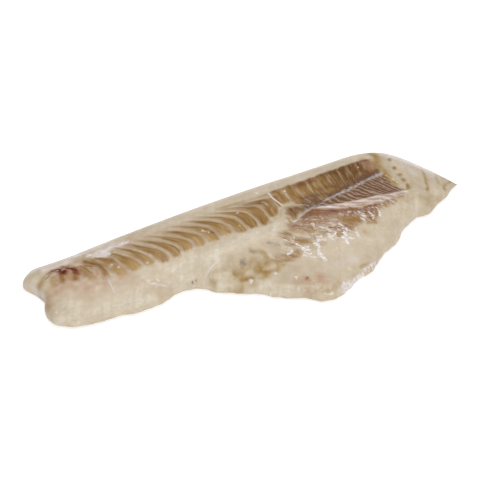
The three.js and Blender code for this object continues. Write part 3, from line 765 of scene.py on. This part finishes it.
# Patterns that follow the muscle, with the number of cells to a bar, a fold or a rib
along_bars, along_folds, along_rack, along_wall, along_flakes = (
    add(tree, "Attribute", {"attribute_name": name}).outputs["Vector"]
    for name in ("along_bars", "along_folds", "along_rack", "along_wall", "along_flakes")
)
bar_streaks = streaks(along_bars, (4.4, 2, 1))
bar_fibres = streaks(along_bars, (10, 2.4, 1), 2)
fold_streaks = streaks(along_folds, (1.5, 1.1, 1))
fibres = streaks(along_folds, (3.6, 3, 1))
strands = streaks(along_folds, (5.5, 2, 1), 2)
rack_streaks = streaks(along_rack, (0.7, 1.1, 1))
wall_streaks = streaks(along_wall, (1, 1, 1))
flakes = streaks(along_flakes, (1, 1, 1))
folds = ripples(along_folds, fold_streaks, 1, -0.7, 0.8)
ribs = ripples(along_rack, rack_streaks, 0.7, -0.1, 1.15)

# Patterns that lie anywhere, in cells to the metre: blotches of 20 mm, clouds of 10, mottle of 6 and a
# grain of 2.5, which is coarser than the real fibres so that it shows
place = add(tree, "TexCoord").outputs["Object"]
blotches = streaks(place, (45, 60, 60))
clouds = streaks(place, (95, 120, 120))
mottle = streaks(place, (150, 170, 170))
grain = streaks(place, (380, 420, 420))

pale = tinted("#d2c6b2", "#bdab94", blotches)
pale = tinted(pale, "#dad4c3", layer("cream_flesh", blotches, 0.4, 0.1))
# Dull flesh and painted shade
pale = tinted(pale, "#9c8c74", layer("dull_flesh_and_shade", flakes, 0.45, 0))
pale = tinted(pale, "#b9a78b", mottle, 0.45)
pale = tinted(pale, "#ddd5c6", clouds, 0.4)
pale = tinted(pale, "#bca98c", flakes, 0.45)
pale = tinted(pale, "#b5a286", grain, 0.35)
pale = tinted(pale, "#b08a70", layer("rosy_flesh", mottle, 0.5, 0.1))
bar_brown = tinted("#937039", "#7b5627", bar_streaks)
bar_brown = tinted(bar_brown, "#b09160", bar_fibres, 0.4)
bar_brown = tinted(bar_brown, "#b0915c", layer("golden_end", bar_fibres, 0.35, 0))
bar_brown = tinted(bar_brown, "#654015", layer("deep_brown", bar_streaks, 0.3, 0))
colour = tinted(pale, bar_brown, layer("dark_muscle", bar_streaks, 0.2, 0.02))
colour = tinted(colour, "#654630", layer("plum_muscle", mottle, 0.5, 0.1))
fringe_brown = tinted("#704520", "#a9885a", folds)
fringe_brown = tinted(fringe_brown, "#6f451f", strands, 0.55)
fringe_brown = tinted(fringe_brown, "#cdbba8", fibres, 0.45)
colour = tinted(colour, fringe_brown, layer("torn_fringe", fold_streaks, 0.4, 0.05))
shaded_brown = tinted("#643619", "#916638", fold_streaks)
shaded_brown = tinted(shaded_brown, "#a98864", fibres, 0.45)
shaded_brown = tinted(shaded_brown, "#582810", strands, 0.55)
colour = tinted(colour, shaded_brown, layer("shaded_fold", folds, 0.3, 0.05))
colour = tinted(colour, "#906b35", layer("amber_flesh", fold_streaks, 0.5, 0.1))
rack_brown = tinted(tinted("#5e3d1f", "#72512f", mottle), "#a68c7e", ribs)
colour = tinted(colour, rack_brown, layer("rack_muscle", mottle, 0.1, 0.05))
# Pale lining and painted highlight along the ridge of the belly wall
lining_and_highlight_tone = tinted("#dcd2ce", "#a3836a", wall_streaks)
colour = tinted(colour, lining_and_highlight_tone, layer("lining_and_highlight", wall_streaks, 0.15, 0.02))
# Olive stains, with painted shade on the tail's cut end face
colour = tinted(colour, "#957530", layer("olive_stain_and_shade", mottle, 0.3, 0.03))
colour = tinted(colour, "#8f6d22", layer("pin_holes", mottle, 0.2, 0.05))
colour = tinted(colour, "#7a746f", layer("dark_lining", mottle, 0.5, 0.05))
blood_share = layer("blood", grain, 0.35, 0.03)
clotted = add(tree, "Math", {"operation": "POWER"}, _0=blood_share, _1=3).outputs[0]
colour = tinted(tinted(colour, "#8c5126", blood_share), "#551404", clotted)
colour = tinted(colour, "#b3abaa", layer("silver_thread", grain, 0.55, 0.05))
# Painted highlight: the sheen is a pale colour laid over the flesh
colour = tinted(colour, "#dacfca", layer("painted_sheen", mottle, 0.55, 0.08))
# Painted glare: this layer carries white highlights as well as the milky skin
skin_and_glare_share = layer("skin_and_painted_glare", fibres, 0.55, 0)
torn = add(tree, "MapRange", Value=skin_and_glare_share, From_Min=0.45, From_Max=0.8, To_Max=0.94).outputs["Result"]
colour = tinted(colour, tinted("#c6bab4", "#e6e2e0", fibres), torn)
bump = add(tree, "Bump", Strength=0.25, Distance=0.4 * MM, Height=grain)
shader = add(
    tree, "BsdfPrincipled", Base_Color=colour, Roughness=0.42, IOR=1.38, Specular_IOR_Level=0.2,
    Subsurface_Weight=0.12, Subsurface_Radius=(2 * MM, 1.2 * MM, 0.7 * MM), Subsurface_Scale=1,
    Normal=bump.outputs[0],
)
add(tree, "OutputMaterial", Surface=shader.outputs[0])
fillet.data.materials.append(flesh)
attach(fillet, "root")
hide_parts("cod_fillet")

# The film: thin clear plastic drawn tightly over the fillet and sealed below. It touches the high places and
# bridges the hollows, and it is fixed only by its own tension.
film_gap = 0.3
film_steps = (300, 110)
film_rings = [(0.7, 1.7), (1.7, 0.8), (2.8, 0)]


def film_place(u, v):
    """The flesh's upper face, moved up and outwards by the film's gap."""
    x, y, height = upper_face(u, v)
    _, _, rib = plan_point(u, v)
    across = (back_curve(u) - belly_curve(u)) / rib[..., None]
    x = x + film_gap * ((2 * v - 1) * across[..., 0] + 2 * u - 1)
    y = y + film_gap * (2 * v - 1) * across[..., 1]
    return np.stack([x, y, height + film_gap], -1)


def taut(heights, rounds=140):
    """Draws the sheet tight: each point goes to the mean of its neighbours, but never below the flesh."""
    drawn = heights.copy()
    for _ in range(rounds):
        mean = (drawn[:-2, 1:-1] + drawn[2:, 1:-1] + drawn[1:-1, :-2] + drawn[1:-1, 2:]) / 4
        drawn[1:-1, 1:-1] = np.maximum(heights[1:-1, 1:-1], mean)
    return drawn


steps_u, steps_v = (np.arange(steps + 1) for steps in film_steps)
line_u, line_v = crowded(steps_u / film_steps[0], 0.1), crowded(steps_v / film_steps[1], 0.5)
grid_u, grid_v = np.meshgrid(line_u, line_v, indexing="ij")
taut_heights = taut(film_place(grid_u, grid_v)[..., 2])


def film_face(u, v):
    """The film's own grid at its taut heights."""
    points = film_place(u, v)
    i, j = (np.rint(np.interp(*row)).astype(int) for row in ((u, line_u, steps_u), (v, line_v, steps_v)))
    points[:, 2] = taut_heights[i, j]
    return points


film = wrapped_sheet("clear_film", *film_steps, film_rings, film_face)
x, y, _ = plan_of(film)

# Painted highlights, white lines along the film's creases and glints at single points, and the places
# where it is finely wrinkled and glares
painted_film_highlights = strokes(
    x, y, (0.7, 0.6, (-135.5, 2), (-134.5, -9), (-133, -19)), (0.8, 1, (23, 39), (24, 30), (27, 18)),
    (0.7, 0.6, (14, 30), (16, 24)), (0.6, 0.35, (-193, 26), (-187, 14), (-185, 8)),
    (0.8, 0.7, (-105, -18), (-92, -22)), (0.8, 0.6, (-60, -24), (-46, -18)),
    (0.9, 0.3, (-140, -25), (-105, -28)), (1.2, 0.9, (-11, 26)), (1, 0.6, (-16, 10)), (1.2, 0.9, (-125, 25)),
    (1.2, 0.8, (-127, 12)), (1.2, 0.8, (-123, 7)), (1.1, 0.9, (-100, 2)), (1, 0.6, (-182, -14)),
    (1.2, 0.9, (37, 35)), (1.8, 0.7, (-27, -40)), (1.6, 0.7, (-6, -42)), (1.3, 0.7, (7, -52)),
    (1.2, 0.5, (52, -37)),
)
paint(film, "painted_highlight", painted_film_highlights)
wrinkled = stains(
    x, y, (5, 0.2, (24, -24), (30, -34)), (4, 0.3, (38, -24), (38, -44)), (5, 0.25, (42, -21), (58, -22)),
    (5, 0.25, (62, -14), (64, -32)), (4, 0.25, (85, -12), (102, -18)),
    (3, 0.6, (38, -77), (50, -70), (66, -62), (80, -56)), (2, 0.4, (56, 1), (76, -3), (100, -4), (136, 1)),
    (1.8, 0.4, (46, 5), (60, 9), (84, 15), (126, 26)), (5, 0.9, (-140, 33), (-128, 28), (-108, 34)),
    (6, 0.4, (-186, 36), (-160, 35)), (4, 0.3, (-106, -18), (-92, -22)), (4, 0.6, (-44, 17)),
    (3, 0.8, (14, -25)), (8, 0.2, (150, 50), (172, 42)),
)
paint(film, "wrinkled", wrinkled)
paint(film, "along_folds", comb_phase(x, y), x / fold_length)

# Clear plastic film: colourless, smooth and glossy, so it shows only as highlights, more so where it is seen
# edge on, and as painted highlights in matt white along its creases and at glints.
clear = new_material("clear_plastic_film")
tree = clear.node_tree
facing = add(tree, "LayerWeight", Blend=0.5).outputs["Facing"]
edge_on = add(tree, "Math", {"operation": "POWER"}, _0=facing, _1=4)
clamped_sum = {"operation": "MULTIPLY_ADD", "use_clamp": True}
mirror_share = add(tree, "Math", clamped_sum, _0=edge_on.outputs[0], _1=0.18, _2=0.012)
wrinkles = add(tree, "Attribute", {"attribute_name": "wrinkled"}).outputs["Fac"]
along_folds = add(tree, "Attribute", {"attribute_name": "along_folds"}).outputs["Vector"]
wrinkle_noise = streaks(along_folds, (1.2, 2, 1))
crest_noise = streaks(along_folds, (1.5, 2.2, 1))
crests = add(tree, "MapRange", Value=crest_noise, From_Min=0.55, From_Max=0.9, To_Max=0.4).outputs["Result"]
wrinkle_share = add(tree, "Math", clamped_sum, _0=wrinkles, _1=crests, _2=mirror_share.outputs[0])
wrinkle_bump = add(tree, "Bump", Strength=wrinkles, Distance=1.2 * MM, Height=wrinkle_noise)
gloss = add(tree, "BsdfGlossy", Color=linear("#f6f4f6"), Roughness=0.12, Normal=wrinkle_bump.outputs[0])
see_through = add(tree, "BsdfTransparent")
sheet = add(tree, "MixShader", _0=wrinkle_share.outputs[0], _1=see_through.outputs[0], _2=gloss.outputs[0])
# Painted highlights: a matt white laid over the film along its creases and at glints
white = add(tree, "BsdfDiffuse", Color=linear("#f5efea"))
painted_highlight_share = add(tree, "Attribute", {"attribute_name": "painted_highlight"}).outputs["Fac"]
painted_highlight_veil = add(tree, "Math", {"operation": "MULTIPLY"}, _0=painted_highlight_share, _1=0.7)
film_shader = add(tree, "MixShader", _0=painted_highlight_veil.outputs[0], _1=sheet.outputs[0], _2=white.outputs[0])
add(tree, "OutputMaterial", Surface=film_shader.outputs[0])
film.data.materials.append(clear)
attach(film, "root")
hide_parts("cod_fillet")

# The studio: a pale matt floor of paper under an even white surround. One soft light hangs overhead, a
# little behind the fillet, and a larger one stands low in front of it.
floor_half_side = 6
floor_drop = 0.1 * MM
bm = bmesh.new()
bmesh.ops.create_grid(bm, x_segments=1, y_segments=1, size=floor_half_side)
floor_mesh = bpy.data.meshes.new("studio_floor")
bm.to_mesh(floor_mesh)
bm.free()
floor = bpy.data.objects.new("studio_floor", floor_mesh)
floor.data.transform(Matrix.Translation((0, 0, -floor_drop)))
bpy.context.collection.objects.link(floor)

# Matt white paper: it throws no highlights, and glows a little so that the background stays plain white
paper = new_material("white_paper_sweep")
tree = paper.node_tree
matt = add(
    tree, "BsdfPrincipled", Base_Color=linear("#dcdcdc"), Roughness=0.9,
    Emission_Color=(1, 1, 1, 1), Emission_Strength=0.5,
)
add(tree, "OutputMaterial", Surface=matt.outputs[0])
floor.data.materials.append(paper)


def softbox(name, sides, power, azimuth, elevation, distance):
    """A rectangular soft light that points at the fillet, its sides and distance in metres."""
    data = bpy.data.lights.new(name, "AREA")
    data.shape = "RECTANGLE"
    data.size, data.size_y = sides
    data.energy = power
    set_up(name, data, azimuth, elevation, distance, aim=Vector())


softbox("overhead_softbox", sides=(0.9, 0.7), power=5.3, azimuth=157, elevation=78, distance=1)
softbox("front_softbox", sides=(1.4, 0.9), power=7, azimuth=-10, elevation=30, distance=1.4)
world = bpy.data.worlds.new("white_surround")
world.use_nodes = True
surround = world.node_tree.nodes["Background"].inputs
surround["Color"].default_value = (1, 1, 1, 1)
surround["Strength"].default_value = 0.5
bpy.context.scene.world = world
bpy.context.scene.view_settings.view_transform = "Standard"
